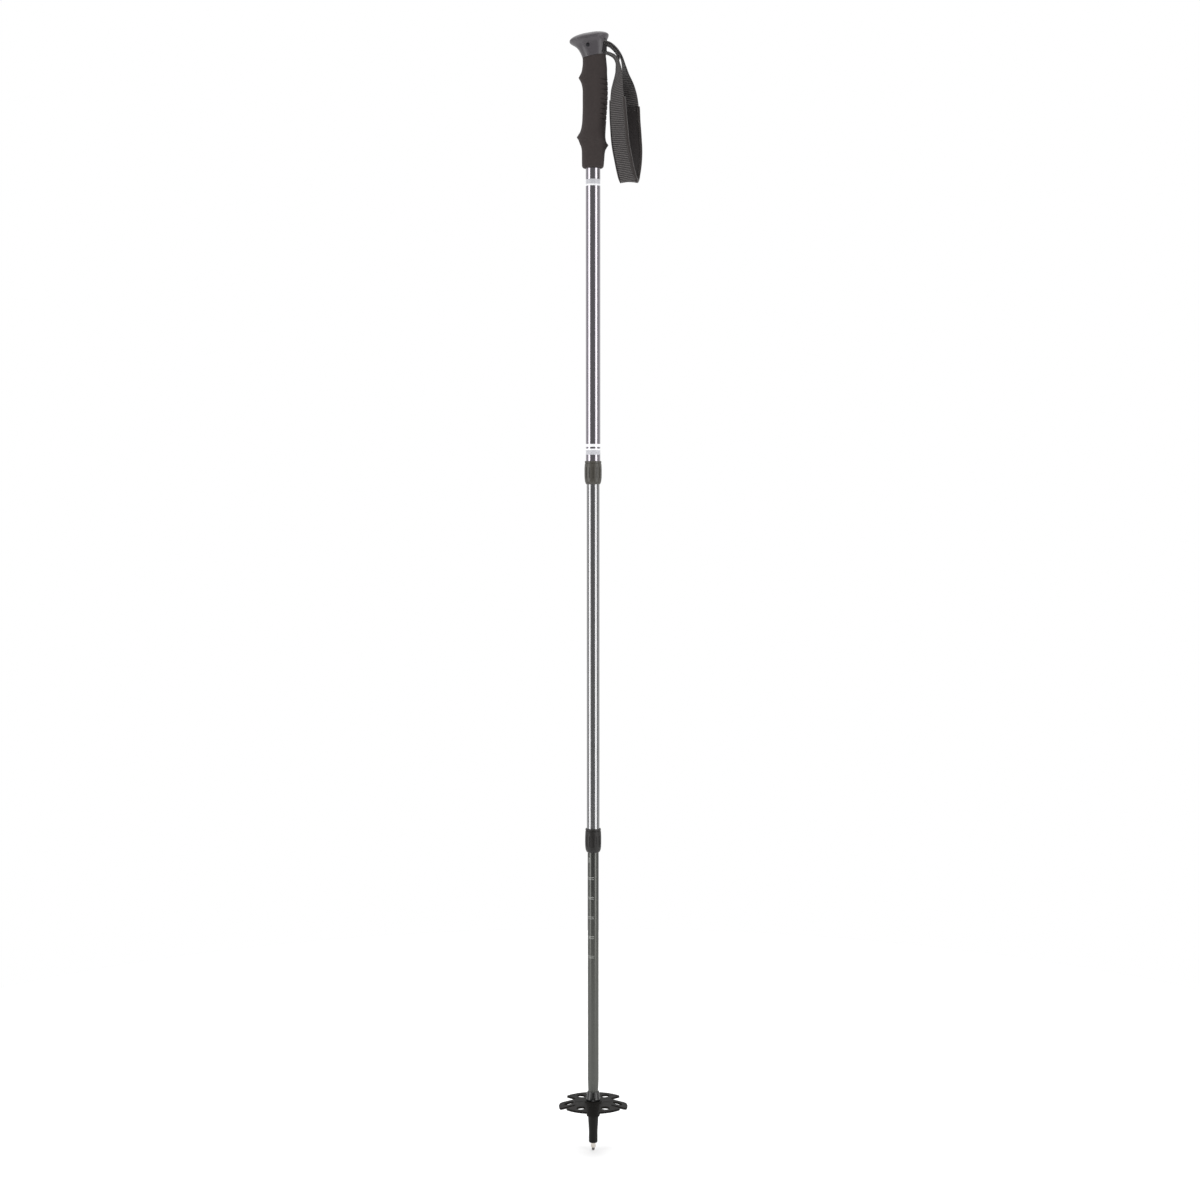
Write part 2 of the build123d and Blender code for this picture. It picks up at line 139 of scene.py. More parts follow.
# ----------------------------------------------------------------------- materials
def anodised(name, color, roughness, pale_bands=(), grain=0.0):
    """Anodised tube: drawn along Z, with printed pale bands (low, high, colour) in metres."""
    s = Shader(name, color, roughness, 1.0).set(Specular_IOR_Level=0.5)
    drawn = s.noise(s.stretched(900, 900, 6), 1.0, 3.0)
    cloud = s.noise(s.position(), 60.0, 3.0)
    streaks = s.math("MULTIPLY", s.math("ADD", drawn, cloud), 0.5)
    base = s.mix(streaks, shade(color, 0.94), shade(color, 1.06))
    rough = s.ramp(drawn, roughness * 0.9, roughness * 1.12)
    z = s.node("ShaderNodeSeparateXYZ", Vector=s.position()).outputs["Z"]
    painted = None
    for low, high, paint in pale_bands:
        mask = s.between(z, low, high)
        base = s.mix(mask, base, paint)
        painted = mask if painted is None else s.math("MAXIMUM", painted, mask)
    if painted is not None:
        s.to_surface("Metallic", s.math("SUBTRACT", 1.0, painted))
        rough = s.math("ADD", rough, s.math("MULTIPLY", painted, 0.22))
    s.to_surface("Base Color", base)
    s.to_surface("Roughness", rough)
    height = drawn
    if grain:
        speckle = s.noise(s.stretched(1, 1, 0.5), 1900.0, 2.0)
        height = s.math("ADD", drawn, s.math("MULTIPLY", speckle, grain))
    s.bump(height, 0.25 if grain else 0.02, 0.00004)
    return s.material


def moulded(name, color, roughness, grain_size=2200.0, grain=0.25, spread=0.18, specular=0.5, coat=0.0):
    """Moulded plastic with a spark-eroded grain and slight clouding."""
    s = Shader(name, color, roughness).set(Specular_IOR_Level=specular, Coat_Weight=coat)
    wear(s, color, 45.0, spread)
    fine = s.noise(s.position(), grain_size, 3.0)
    s.to_surface("Roughness", s.ramp(s.noise(s.position(), 160.0, 4.0), roughness * 0.8, roughness * 1.2))
    s.bump(fine, grain, 0.0001)
    return s.material


def machined(name, color, roughness):
    """Turned or plated steel: fine rings round Z."""
    s = Shader(name, color, roughness, 1.0)
    rings = s.noise(s.stretched(30, 30, 4000), 1.0, 2.0)
    stains = s.noise(s.position(), 220.0, 4.0)
    s.to_surface("Base Color", s.mix(stains, shade(color, 0.8), shade(color, 1.15)))
    s.to_surface("Roughness", s.ramp(rings, roughness * 0.7, roughness * 1.4))
    s.bump(rings, 0.12, 0.00005)
    return s.material


def foam_material():
    """Closed-cell foam: matt, with small pores and a faint cloud."""
    color = (0.034, 0.027, 0.026)
    s = Shader("foam", color, 0.86).set(Specular_IOR_Level=0.28)
    cells = s.node("ShaderNodeTexVoronoi", Vector=s.position(), Scale=1900.0).outputs["Distance"]
    fine = s.noise(s.position(), 3200.0, 3.0)
    cloud = s.noise(s.position(), 70.0, 5.0, 0.65)
    base = s.mix(cloud, shade(color, 0.78), shade(color, 1.2))
    base = s.mix(s.ramp(cells, 0.0, 0.35, 0.25, 0.8), base, shade(color, 1.9))
    s.to_surface("Base Color", base)
    s.to_surface("Roughness", s.ramp(fine, 0.78, 0.95))
    s.bump(s.math("ADD", s.math("MULTIPLY", cells, 0.8), fine), 0.5, 0.00018)
    return s.material


RIB_PITCH = 2.25         # mm along the webbing
RIB_SLANT = 1.3          # mm that a rib climbs across the width
WEBBING_WIDTH = 20.0
THREAD_PITCH = 0.45      # mm between the weave's threads across the webbing


def webbing_material():
    """Ribbed webbing: a painted highlight on the rib crests, painted shade in the gaps between them, and a
    fine weave across each rib.
    """
    # painted light: the first colour is painted shade for the gaps between ribs, and it also marks the
    # weave's lines between threads; the second colour is a painted highlight for the rib crests
    gap_shade_and_weave_dark, crest_highlight_colour = (0.006, 0.0045, 0.0045), (0.155, 0.142, 0.140)
    s = Shader("webbing", (0.06, 0.05, 0.047), 0.72).set(Specular_IOR_Level=0.4, Sheen_Weight=0.25,
                                                          Sheen_Roughness=0.4)
    uv = s.node("ShaderNodeUVMap").outputs[0]
    parts = s.node("ShaderNodeSeparateXYZ", Vector=uv)
    across, along = parts.outputs["X"], parts.outputs["Y"]
    climb = s.math("MULTIPLY", across, RIB_SLANT / WEBBING_WIDTH / RIB_PITCH)
    turns = s.math("ADD", s.math("DIVIDE", along, RIB_PITCH), climb)
    wave = s.math("COSINE", s.math("MULTIPLY", turns, 2 * math.pi))
    crest_highlight_mask = s.ramp(wave, 1.0, 0.0, -0.98, 0.1)
    threads = s.math("SINE", s.math("MULTIPLY", across, 2 * math.pi / THREAD_PITCH))
    fuzz = s.noise(s.position(), 2600.0, 3.0)
    # rib crests get the painted highlight colour and the gaps the painted shade colour, on top of the ribs
    # that the mesh already has
    base = s.mix(crest_highlight_mask, gap_shade_and_weave_dark, crest_highlight_colour)
    base = s.mix(s.ramp(threads, 0.0, 0.35, -1.0, 1.0), base, gap_shade_and_weave_dark)
    base = s.mix(s.math("MULTIPLY", fuzz, 0.22), base, (0.12, 0.11, 0.108))
    s.to_surface("Base Color", base)
    s.bump(s.math("ADD", s.math("MULTIPLY", threads, 0.35), fuzz), 0.6, 0.00012)
    return s.material


def cloth_material(name, color, thread=0.5, sheen=0.35):
    """Soft brushed or woven cloth: crossed threads under a nap."""
    s = Shader(name, color, 0.85).set(Specular_IOR_Level=0.25, Sheen_Weight=sheen, Sheen_Roughness=0.5)
    uv = s.node("ShaderNodeUVMap").outputs[0]
    parts = s.node("ShaderNodeSeparateXYZ", Vector=uv)
    warp = s.math("SINE", s.math("MULTIPLY", parts.outputs["X"], 2 * math.pi / thread))
    weft = s.math("SINE", s.math("MULTIPLY", parts.outputs["Y"], 2 * math.pi / thread))
    weave = s.math("MULTIPLY", warp, weft)
    nap = s.noise(s.position(), 1500.0, 5.0, 0.7)
    base = s.mix(nap, shade(color, 0.6), shade(color, 1.5))
    s.to_surface("Base Color", s.mix(s.ramp(weave, 0.0, 0.3, -1.0, 1.0), base, shade(color, 1.8)))
    s.bump(s.math("ADD", s.math("MULTIPLY", weave, 0.5), nap), 0.55, 0.00012)
    return s.material


WHITE_PAINT = (0.86, 0.86, 0.88)
GREY_PAINT = (0.50, 0.50, 0.53)
UPPER_TUBE_BANDS = [
    (1.2146, 1.2205, GREY_PAINT), (1.2124, 1.2146, WHITE_PAINT), (0.8911, 0.8946, WHITE_PAINT),
    (0.8870, 0.8888, WHITE_PAINT), (0.8813, 0.8870, GREY_PAINT),
]


def make_materials():
    return {
        "upper_tube": anodised("upper_tube_metal", (0.34, 0.32, 0.35), 0.17, UPPER_TUBE_BANDS),
        "middle_tube": anodised("middle_tube_metal", (0.30, 0.30, 0.305), 0.20),
        "lower_tube": anodised("lower_tube_metal", (0.085, 0.087, 0.081), 0.25, grain=1.6),
        "cap": moulded("cap_plastic", (0.066, 0.060, 0.066), 0.40, 1700.0, 0.22),
        "wedge": moulded("wedge_plastic", (0.018, 0.016, 0.018), 0.38),
        "upper_collar": moulded("upper_collar_plastic", (0.050, 0.046, 0.038), 0.38, 2400.0, 0.2),
        "lower_collar": moulded("lower_collar_plastic", (0.009, 0.008, 0.007), 0.44, 2400.0, 0.2,
                                specular=0.35),
        "tip": moulded("tip_plastic", (0.0048, 0.0043, 0.0035), 0.46, specular=0.16),
        "basket": moulded("basket_plastic", (0.0048, 0.0040, 0.0032), 0.58, 1500.0, 0.3, specular=0.12),
        "stop": moulded("stop_plastic", (0.006, 0.006, 0.006), 0.2, 1500.0, 0.06, 0.1, 0.45, 0.15),
        "nylon": moulded("nylon", (0.66, 0.66, 0.62), 0.45),
        "ferrule": machined("ferrule_metal", (0.62, 0.58, 0.53), 0.26),
        "steel": machined("plated_steel", (0.62, 0.62, 0.60), 0.3),
        "pin": machined("pin_metal", (0.10, 0.10, 0.11), 0.4),
        "carbide": machined("carbide_metal", (0.16, 0.15, 0.14), 0.45),
        "foam": foam_material(),
        "webbing": webbing_material(),
        "lining": cloth_material("lining_cloth", (0.013, 0.010, 0.010), 0.7),
        "binding": cloth_material("binding_cloth", (0.026, 0.021, 0.020), 0.8),
        "thread": cloth_material("thread_cloth", (0.062, 0.055, 0.053), 0.3),
        "print": moulded("print_ink", (0.34, 0.35, 0.33), 0.5, 1500.0, 0.05),
    }


CAD_FINISH = {
    "upper_tube": "upper_tube", "middle_tube": "middle_tube", "lower_tube": "lower_tube",
    "grip_cap": "cap", "strap_wedge": "wedge", "strap_pin": "pin",
    "upper_collar": "upper_collar", "lower_collar": "lower_collar",
    "tip_sleeve": "tip", "tip_ferrule": "ferrule", "carbide_tip": "carbide",
    "basket": "basket", "basket_stop_collar": "stop",
}
LOCK_FINISH = {
    "end_plug": "nylon", "expander": "nylon", "cone": "nylon", "spindle": "steel", "stop_nut": "steel",
}


def finish_cad_nodes(materials):
    finish = dict(CAD_FINISH)
    for section in ("middle", "lower"):
        for piece, key in LOCK_FINISH.items():
            finish[f"{section}_{piece}"] = key
    for node, key in finish.items():
        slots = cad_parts[node].data.materials
        slots.clear()
        slots.append(materials[key])


# --------------------------------------------------------------------- mesh helpers
def grid_object(name, points, closed_rows, closed_ring, material, uv=None):
    """An object from a (rows, ring, 3) array of points in metres, with caps on open rows."""
    rows, ring = points.shape[:2]
    mesh = bpy.data.meshes.new(name)
    faces = []
    for i in range(rows if closed_rows else rows - 1):
        for j in range(ring if closed_ring else ring - 1):
            k, m = (i + 1) % rows, (j + 1) % ring
            faces.append((i * ring + j, i * ring + m, k * ring + m, k * ring + j))
    sides = len(faces)
    if closed_ring and not closed_rows:
        faces.append(tuple(range(ring))[::-1])
        faces.append(tuple((rows - 1) * ring + j for j in range(ring)))
    mesh.from_pydata(points.reshape(-1, 3).tolist(), [], faces)
    mesh.polygons.foreach_set("use_smooth", [True] * len(faces))
    if uv is not None:
        layer = mesh.uv_layers.new(name="UVMap")
        flat = uv.reshape(-1, 2)
        for p in mesh.polygons:
            wraps = p.index < sides
            for loop in p.loop_indices:
                u, v = flat[mesh.loops[loop].vertex_index]
                layer.data[loop].uv = (u, v) if wraps else (0.0, v)
    fix_normals(mesh)
    mesh.materials.append(material)
    obj = bpy.data.objects.new(name, mesh)
    bpy.context.scene.collection.objects.link(obj)
    return obj


def fix_normals(mesh):
    shape = bmesh.new()
    shape.from_mesh(mesh)
    bmesh.ops.recalc_face_normals(shape, faces=shape.faces)
    shape.to_mesh(mesh)
    shape.free()


def smooth_table(table, at):
    """Monotone cubic through the rows of a table, whose first column is the place."""
    table = np.array(table, float)
    x, y = table[:, 0], table[:, 1:]
    step = np.diff(x)[:, None]
    slope = np.diff(y, axis=0) / step
    tangent = np.zeros_like(y)
    same = slope[:-1] * slope[1:] > 0
    safe = np.where(same, slope[:-1] + slope[1:], 1.0)
    tangent[1:-1] = np.where(same, 2 * slope[:-1] * slope[1:] / safe, 0.0)
    tangent[0], tangent[-1] = slope[0], slope[-1]
    i = np.clip(np.searchsorted(x, at) - 1, 0, len(x) - 2)
    t = ((at - x[i]) / step[i, 0])[:, None]
    a, b = y[i], y[i + 1]
    ta, tb = tangent[i] * step[i], tangent[i + 1] * step[i]
    return (a * (1 + 2 * t) * (1 - t) ** 2 + ta * t * (1 - t) ** 2
            + b * t * t * (3 - 2 * t) + tb * t * t * (t - 1))


# ------------------------------------------------------------------------ the foam
FOAM_LOW = 1234.0
SEAM_MIDDLE = 1370.0
SEAM_SLOPE = math.tan(math.radians(10.0))
# height, front, back and width of the foam without its ribs, as if its lower ridge were level
FOAM_PROFILE = [
    (1234.0, -13.0, 12.6, 25.4), (1238.0, -13.7, 13.3, 26.6), (1250.0, -13.9, 14.1, 27.2),
    (1256.0, -14.9, 14.4, 27.7), (1259.0, -16.2, 14.8, 28.2), (1261.2, -17.0, 15.5, 28.7),
    (1263.6, -17.9, 16.7, 29.6), (1265.4, -18.8, 17.8, 30.6), (1267.0, -20.0, 18.9, 31.4),
    (1268.6, -18.9, 17.7, 30.6), (1270.3, -18.0, 16.7, 29.7), (1273.1, -16.2, 15.8, 28.7),
    (1278.0, -14.6, 15.3, 28.2), (1286.0, -13.5, 15.6, 27.8), (1296.0, -13.1, 16.4, 27.9),
    (1309.0, -12.8, 17.6, 28.2), (1328.0, -12.8, 18.3, 28.8), (1336.0, -13.9, 18.2, 28.9),
    (1341.0, -15.9, 17.9, 29.0), (1343.2, -17.2, 17.8, 29.1), (1344.3, -17.7, 17.7, 29.1),
    (1345.6, -17.0, 17.6, 29.0), (1347.5, -16.0, 17.5, 28.9), (1350.5, -14.5, 17.4, 28.6),
    (1354.0, -13.6, 17.4, 28.4), (1362.0, -12.7, 16.8, 27.8), (1375.0, -12.8, 15.4, 27.2),
]
RIDGE_SLANT = 4.8        # how much higher the lower ridge is at the front, and lower at the back
RIB_LOWEST, RIB_HIGHEST, GRIP_RIB_PITCH = 1291.0, 1346.0, 6.0
FOAM_ROWS, FOAM_RING = 340, 160
FOAM_SQUARENESS = 2.3    # exponent of the foam's superelliptical section; 2 would be an ellipse
SEAM_HALF = 15.0         # half of the foam's depth where it meets the head
EDGE_RADIUS = 2.6        # of the foam's lower edge
TUBE_BORE, STEM_BORE, SEAM_BORE = 9.05, 11.1, 11.2
STEP_LOW, STEP_HIGH = 1324.9, 1326.0     # where the bore widens from the tube to the head's stem


def grip_grooves(angle, height):
    """Depth in mm of the shallow slanted grooves on the back third of the grip."""
    slanted = height + 1.6 * np.cos(angle)
    phase = ((slanted - RIB_LOWEST) / GRIP_RIB_PITCH) % 1.0
    groove = np.exp(-((phase - 0.5) / 0.12) ** 2)
    soft_end = np.clip((slanted - RIB_LOWEST) / 3, 0, 1) * np.clip((RIB_HIGHEST - slanted) / 3, 0, 1)
    back = np.clip((np.cos(angle) - 0.30) / 0.28, 0, 1)
    swell = 0.25 * np.sin(np.pi * phase) ** 2
    return soft_end * back * (1.5 * groove - swell)


def make_foam(material):
    """The foam sleeve: a closed skin, out up the profile and back down along the tube."""
    rows, ring = FOAM_ROWS, FOAM_RING
    angle = np.linspace(0, 2 * math.pi, ring, endpoint=False)
    share = np.linspace(0, 1, rows)
    cosine, sine = np.cos(angle), np.sin(angle)
    corner = 2 / FOAM_SQUARENESS
    across = np.sign(cosine) * np.abs(cosine) ** corner
    sideways = np.sign(sine) * np.abs(sine) ** corner
    outer = np.zeros((rows, ring, 3))
    for j in range(ring):
        top = SEAM_MIDDLE + (SEAM_HALF * across[j]) * SEAM_SLOPE
        height = FOAM_LOW + share * (top - FOAM_LOW)
        near_ridge = np.clip((height - 1238) / 16, 0, 1) * np.clip((1304 - height) / 20, 0, 1)
        level = height + RIDGE_SLANT * across[j] * near_ridge ** 2 * (3 - 2 * near_ridge)
        front, back, width = smooth_table(FOAM_PROFILE, level).T
        middle, half = (front + back) / 2, (back - front) / 2
        inward = grip_grooves(angle[j], height)
        edge = np.clip((height - FOAM_LOW) / EDGE_RADIUS, 0, 1)
        rounding = EDGE_RADIUS * (1 - np.sqrt(1 - (1 - edge) ** 2))
        x = middle + (half - inward - rounding) * across[j]
        y = (width / 2 - inward - rounding) * sideways[j]
        outer[:, j] = np.stack([x, y, height], axis=1)
    inner = []
    for height, radius in ((None, SEAM_BORE), (STEP_HIGH, STEM_BORE), (STEP_LOW, TUBE_BORE),
                           (FOAM_LOW, TUBE_BORE)):
        circle = np.stack([radius * cosine, radius * sine, np.zeros(ring)], axis=1)
        circle[:, 2] = SEAM_MIDDLE + circle[:, 0] * SEAM_SLOPE if height is None else height
        inner.append(circle)
    points = np.concatenate([outer, np.array(inner)]) * MM
    obj = grid_object("foam_grip", points, True, True, material)
    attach(obj, "upper_section")
    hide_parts("grip_foam")


# ----------------------------------------------------------------------- the strap
# Where the webbing runs: x, y, z in mm and its twist about the vertical in degrees.
INSIDE_LOWER = [
    (-9.7, 0.0, 1381.6, 0), (-8.8, 0.0, 1379.6, 0), (-6.3, 0.0, 1378.7, 0),
    (4.0, 0.0, 1376.6, 0), (12.0, 0.0, 1375.1, 0),
]
NEAR_SIDE = [
    (18.6, 0.0, 1374.1, 0), (22.1, -0.2, 1372.6, 2), (25.8, -0.8, 1369.9, 5),
    (28.4, -2.0, 1366.0, 8), (30.4, -5.5, 1356.5, 15), (30.7, -9.5, 1347.4, 24),
    (29.9, -13.5, 1338.0, 34), (29.2, -17.5, 1328.4, 44), (29.4, -20.5, 1316.0, 55),
    (30.3, -22.5, 1299.0, 66), (31.6, -22.5, 1281.0, 74), (33.4, -20.0, 1262.0, 80),
    (37.1, -14.0, 1243.0, 85), (40.6, -7.5, 1228.0, 88), (42.6, -4.6, 1221.5, 90),
]
BOTTOM_FOLD = [(44.5, 0.0, 1218.0, 90)]
FAR_SIDE = [
    (46.0, 4.6, 1221.5, 90), (47.2, 7.0, 1228.0, 90), (48.9, 12.0, 1240.0, 90),
    (49.8, 16.5, 1256.0, 90), (49.0, 19.5, 1274.7, 89), (47.6, 20.5, 1295.0, 84),
    (47.0, 18.5, 1312.0, 75), (45.3, 15.0, 1327.0, 60), (43.2, 11.0, 1338.0, 44),
    (40.6, 7.0, 1348.0, 26), (38.2, 3.0, 1359.0, 10), (34.0, 0.4, 1371.6, 2),
    (27.2, 0.0, 1381.0, 0), (18.8, 0.0, 1386.6, 0),
]
INSIDE_UPPER = [
    (12.0, 0.0, 1387.2, 0), (4.0, 0.0, 1386.2, 0), (-6.3, 0.0, 1385.3, 0),
    (-8.8, 0.0, 1384.4, 0), (-9.7, 0.0, 1382.4, 0),
]
OUTSIDE = NEAR_SIDE + BOTTOM_FOLD + FAR_SIDE
LINING_FIRST, LINING_LAST = 8, 22    # stations of OUTSIDE where the lining starts and ends
TAIL_PATH = [(31.3, -2.2, 1364.0, 8), (31.2, -0.8, 1369.0, 5), (29.2, 0.2, 1374.4, 2),
             (25.2, 0.2, 1379.2, 0), (19.0, 0.0, 1384.0, 0), (12.0, 0.0, 1385.4, 0)]
WEBBING_THICKNESS, TAIL_THICKNESS = 1.7, 1.4
TAIL_WIDTH = 19.0
TAIL_PHASE = 1.1         # mm that the tail's ribs are shifted along it
ROWS_PER_RIB = 8
WEBBING_COLUMNS = 17
CLOTH_STEP = 0.8         # mm between the rows of the lining and its bindings
PAD_COLUMNS = 24
PAD_HALF = 11.0
PAD_BACK, PAD_FACE = 0.85, 2.15      # inward from the webbing's middle
PAD_RIPPLE = 0.10
TAPE_BACK, TAPE_FACE, TAPE_THICKNESS = -0.85, 2.2, 0.26
SEAM_PITCH, SEAM_STITCH, SEAM_MARGIN = 2.6, 1.7, 2.0
INNER_THREAD, OUTER_THREAD = 0.2, 0.22


class Route:
    """A smooth line through listed stations, sampled evenly by length."""

    def __init__(self, stations, step, first=0, last=None):
        points = np.array(stations, float)
        chord = np.concatenate([[0], np.cumsum(np.linalg.norm(np.diff(points[:, :3], axis=0), axis=1))])
        low, high = chord[first], chord[-1 if last is None else last]
        fine = np.linspace(low, high, 4000)
        line = self.spline(chord, points, fine)
        lengths = np.concatenate([[0], np.cumsum(np.linalg.norm(np.diff(line[:, :3], axis=0), axis=1))])
        self.length = lengths[-1]
        self.s = np.linspace(0, self.length, max(3, int(round(self.length / step)) + 1))
        sampled = np.stack([np.interp(self.s, lengths, line[:, k]) for k in range(4)], axis=1)
        self.place = sampled[:, :3]
        along = np.gradient(self.place, axis=0)
        along /= np.linalg.norm(along, axis=1)[:, None]
        twist = np.radians(sampled[:, 3])
        width = np.stack([-np.sin(twist), np.cos(twist), np.zeros(len(twist))], axis=1)
        width -= along * (width * along).sum(1)[:, None]
        self.width = width / np.linalg.norm(width, axis=1)[:, None]
        self.along = along
        self.inward = np.cross(along, self.width)

    @staticmethod
    def spline(chord, points, at):
        """Catmull-Rom through the stations, with chord-length spacing."""
        tangent = np.gradient(points, chord, axis=0)
        i = np.clip(np.searchsorted(chord, at) - 1, 0, len(chord) - 2)
        h = (chord[i + 1] - chord[i])[:, None]
        t = ((at - chord[i])[:, None]) / h
        a, b = points[i], points[i + 1]
        return (a * (1 + 2 * t) * (1 - t) ** 2 + tangent[i] * h * t * (1 - t) ** 2
                + b * t * t * (3 - 2 * t) + tangent[i + 1] * h * t * t * (t - 1))

    def at(self, across, inward):
        """Points in metres for arrays of offsets (rows, ring) across and inward, in mm."""
        return (self.place[:, None] + self.width[:, None] * across[..., None]
                + self.inward[:, None] * inward[..., None]) * MM


def webbing_band(name, stations, width, thickness, material, phase=0.0):
    """Ribbed webbing: each rib is a cord across the width, with thinner selvedges."""
    route = Route(stations, RIB_PITCH / ROWS_PER_RIB)
    columns = np.linspace(-1, 1, WEBBING_COLUMNS)
    half = width / 2
    rows = len(route.s)
    climb = columns[None] * half * RIB_SLANT / WEBBING_WIDTH
    turns = (route.s[:, None] + phase + climb) / RIB_PITCH % 1.0
    rib = np.sqrt(np.clip(1 - (2 * turns - 1) ** 2, 0, 1))
    selvedge = np.clip((1 - np.abs(columns)) / 0.10, 0, 1)[None] ** 0.5
    thick = (thickness / 2) * (0.25 + 0.75 * selvedge) * (0.58 + 0.42 * rib * selvedge)
    across = np.tile(np.concatenate([columns, columns[::-1]]) * half, (rows, 1))
    inward = np.concatenate([-thick, thick[:, ::-1]], axis=1)
    uv = np.stack([across, np.repeat(route.s[:, None] + phase, across.shape[1], 1)], axis=2)
    return grid_object(name, route.at(across, inward), False, True, material, uv), route


def cloth_band(name, ring, material, ripple=0.0):
    """A cloth band along the lining, with one ring of (across, inward) points in mm as its section."""
    route = Route(OUTSIDE, CLOTH_STEP, LINING_FIRST, LINING_LAST)
    ring = np.array(ring, float)
    rows = len(route.s)
    across = np.repeat(ring[None, :, 0], rows, 0)
    inward = np.repeat(ring[None, :, 1], rows, 0)
    wave = np.sin(route.s / 7.3)[:, None] * np.sin(ring[None, :, 0] * 0.35 + route.s[:, None] / 11.0)
    inward = inward + ripple * wave * (np.abs(ring[None, :, 0]) < 10)
    uv = np.stack([np.repeat(np.cumsum(np.r_[0, np.hypot(*np.diff(ring, axis=0).T)])[None], rows, 0),
                   np.repeat(route.s[:, None], len(ring), 1)], axis=2)
    return grid_object(name, route.at(across, inward), False, True, material, uv), route


def pad_ring(half, low, high):
    """A flat pad's cross-section with round edges and a slightly crowned inner face."""
    across = np.linspace(-half, half, PAD_COLUMNS)
    round_off = np.sqrt(np.clip(1 - (np.abs(across) / half) ** 14, 0, 1))
    crown = 0.12 * np.cos(across / half * math.pi / 2)
    middle = (low + high) / 2
    outer = [(a, middle - (middle - low) * r) for a, r in zip(across, round_off)]
    inner = [(a, middle + (high - middle + c) * r)
             for a, r, c in zip(across[::-1], round_off[::-1], crown[::-1])]
    return outer + inner[1:-1]


def hook_ring(edge, outer_reach, inner_reach, low, high, thick):
    """Tape folded round one edge: a U-shaped cross-section. edge is signed."""
    side = math.copysign(1.0, edge)
    bend = []
    for k in range(9):
        angle = math.pi * k / 8
        bend.append((math.sin(angle), -math.cos(angle)))
    middle, half = (low + high) / 2, (high - low) / 2
    skin = [(outer_reach, low - thick)] + [(edge - side * half * 0.6 + side * (half * 0.6 + thick) * sx,
             middle + (half + thick) * sy) for sx, sy in bend] + [(inner_reach, high + thick)]
    core = [(inner_reach, high)] + [(edge - side * half * 0.6 + side * half * 0.6 * sx, middle + half * sy)
            for sx, sy in bend[::-1]] + [(outer_reach, low)]
    return skin + core


def stitches(name, spots, length, radius, material):
    """Short loops of thread as one mesh; a spot is a centre, a direction and a normal, in mm."""
    shape = bmesh.new()
    for centre, direction, normal in spots:
        axes = np.stack([direction * length / 2, np.cross(direction, normal) * radius, normal * radius])
        made = bmesh.ops.create_icosphere(shape, subdivisions=2, radius=1.0)
        for v in made["verts"]:
            v.co = Vector((centre + np.array(v.co) @ axes) * MM)
    mesh = bpy.data.meshes.new(name)
    shape.to_mesh(mesh)
    shape.free()
    mesh.polygons.foreach_set("use_smooth", [True] * len(mesh.polygons))
    mesh.uv_layers.new(name="UVMap")
    mesh.materials.append(material)
    obj = bpy.data.objects.new(name, mesh)
    bpy.context.scene.collection.objects.link(obj)
    return obj


def seam_spots(route, across, inward):
    """A row of stitches along a route."""
    spots = []
    for s in np.arange(SEAM_MARGIN, route.length - SEAM_MARGIN, SEAM_PITCH):
        i = int(s / route.length * (len(route.s) - 1))
        centre = route.place[i] + route.width[i] * across + route.inward[i] * inward
        spots.append((centre, route.along[i], route.inward[i]))
    return spots


def cross_spots(route, from_end, half, inward, pitch):
    """A row of stitches across a route, some way before its end."""
    i = int((route.length - from_end) / route.length * (len(route.s) - 1))
    return [(route.place[i] + route.width[i] * across + route.inward[i] * inward, route.width[i],
             route.inward[i]) for across in np.arange(-half, half + 0.01, pitch)]


def swing(obj):
    """Bakes a strap piece's placement into its mesh."""
    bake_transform(obj)


def make_strap(materials):
    whole = INSIDE_LOWER + OUTSIDE + INSIDE_UPPER
    webbing, route = webbing_band("webbing_loop", whole, WEBBING_WIDTH, WEBBING_THICKNESS,
                                  materials["webbing"])
    swing(webbing)
    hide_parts("strap_webbing", "strap_inner_loop")

    tail, tail_route = webbing_band("webbing_tail", TAIL_PATH, TAIL_WIDTH, TAIL_THICKNESS,
                                    materials["webbing"], TAIL_PHASE)
    swing(tail)
    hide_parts("strap_tail")

    pad, _ = cloth_band("lining_pad", pad_ring(PAD_HALF, PAD_BACK, PAD_FACE), materials["lining"],
                        PAD_RIPPLE)
    swing(pad)
    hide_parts("strap_lining")
    for name, edge, reach in (("binding_wide", -11.2, -7.6), ("binding_narrow", 11.0, 10.0)):
        hook = hook_ring(edge, reach, edge * 0.72, TAPE_BACK, TAPE_FACE, TAPE_THICKNESS)
        tape, line = cloth_band(name, hook, materials["binding"])
        swing(tape)
        inner = stitches(name + "_stitches", seam_spots(line, edge * 0.78, 2.52), SEAM_STITCH, INNER_THREAD,
                         materials["thread"])
        swing(inner)
    outer = stitches("outer_stitches", seam_spots(line, -8.6, -1.17), SEAM_STITCH, OUTER_THREAD,
                     materials["thread"])
    swing(outer)
    spots = cross_spots(line, 1.6, 8.4, 2.3, 2.1) + cross_spots(line, 4.4, 8.4, 2.3, 2.1)
    swing(stitches("end_stitches", spots, 1.5, OUTER_THREAD, materials["thread"]))


# --------------------------------------------------------------- scale on the tube
LOWER_RADIUS = 7.0
COLLAR_BOTTOM = 382.0
SCALE_STEP = 25.0        # mm of the lower tube for 5 cm of the pole's length
FIRST_MARK = 350.6       # height of the 135 cm mark
PRINT_PROUD = 0.03       # mm that the print stands above and below the tube's surface
LABEL_ANGLE, MAX_ANGLE = math.radians(-28), math.radians(-44)
LABEL_DROP, MAX_DROP = 2.1, 9.5      # below its mark, and below the collar


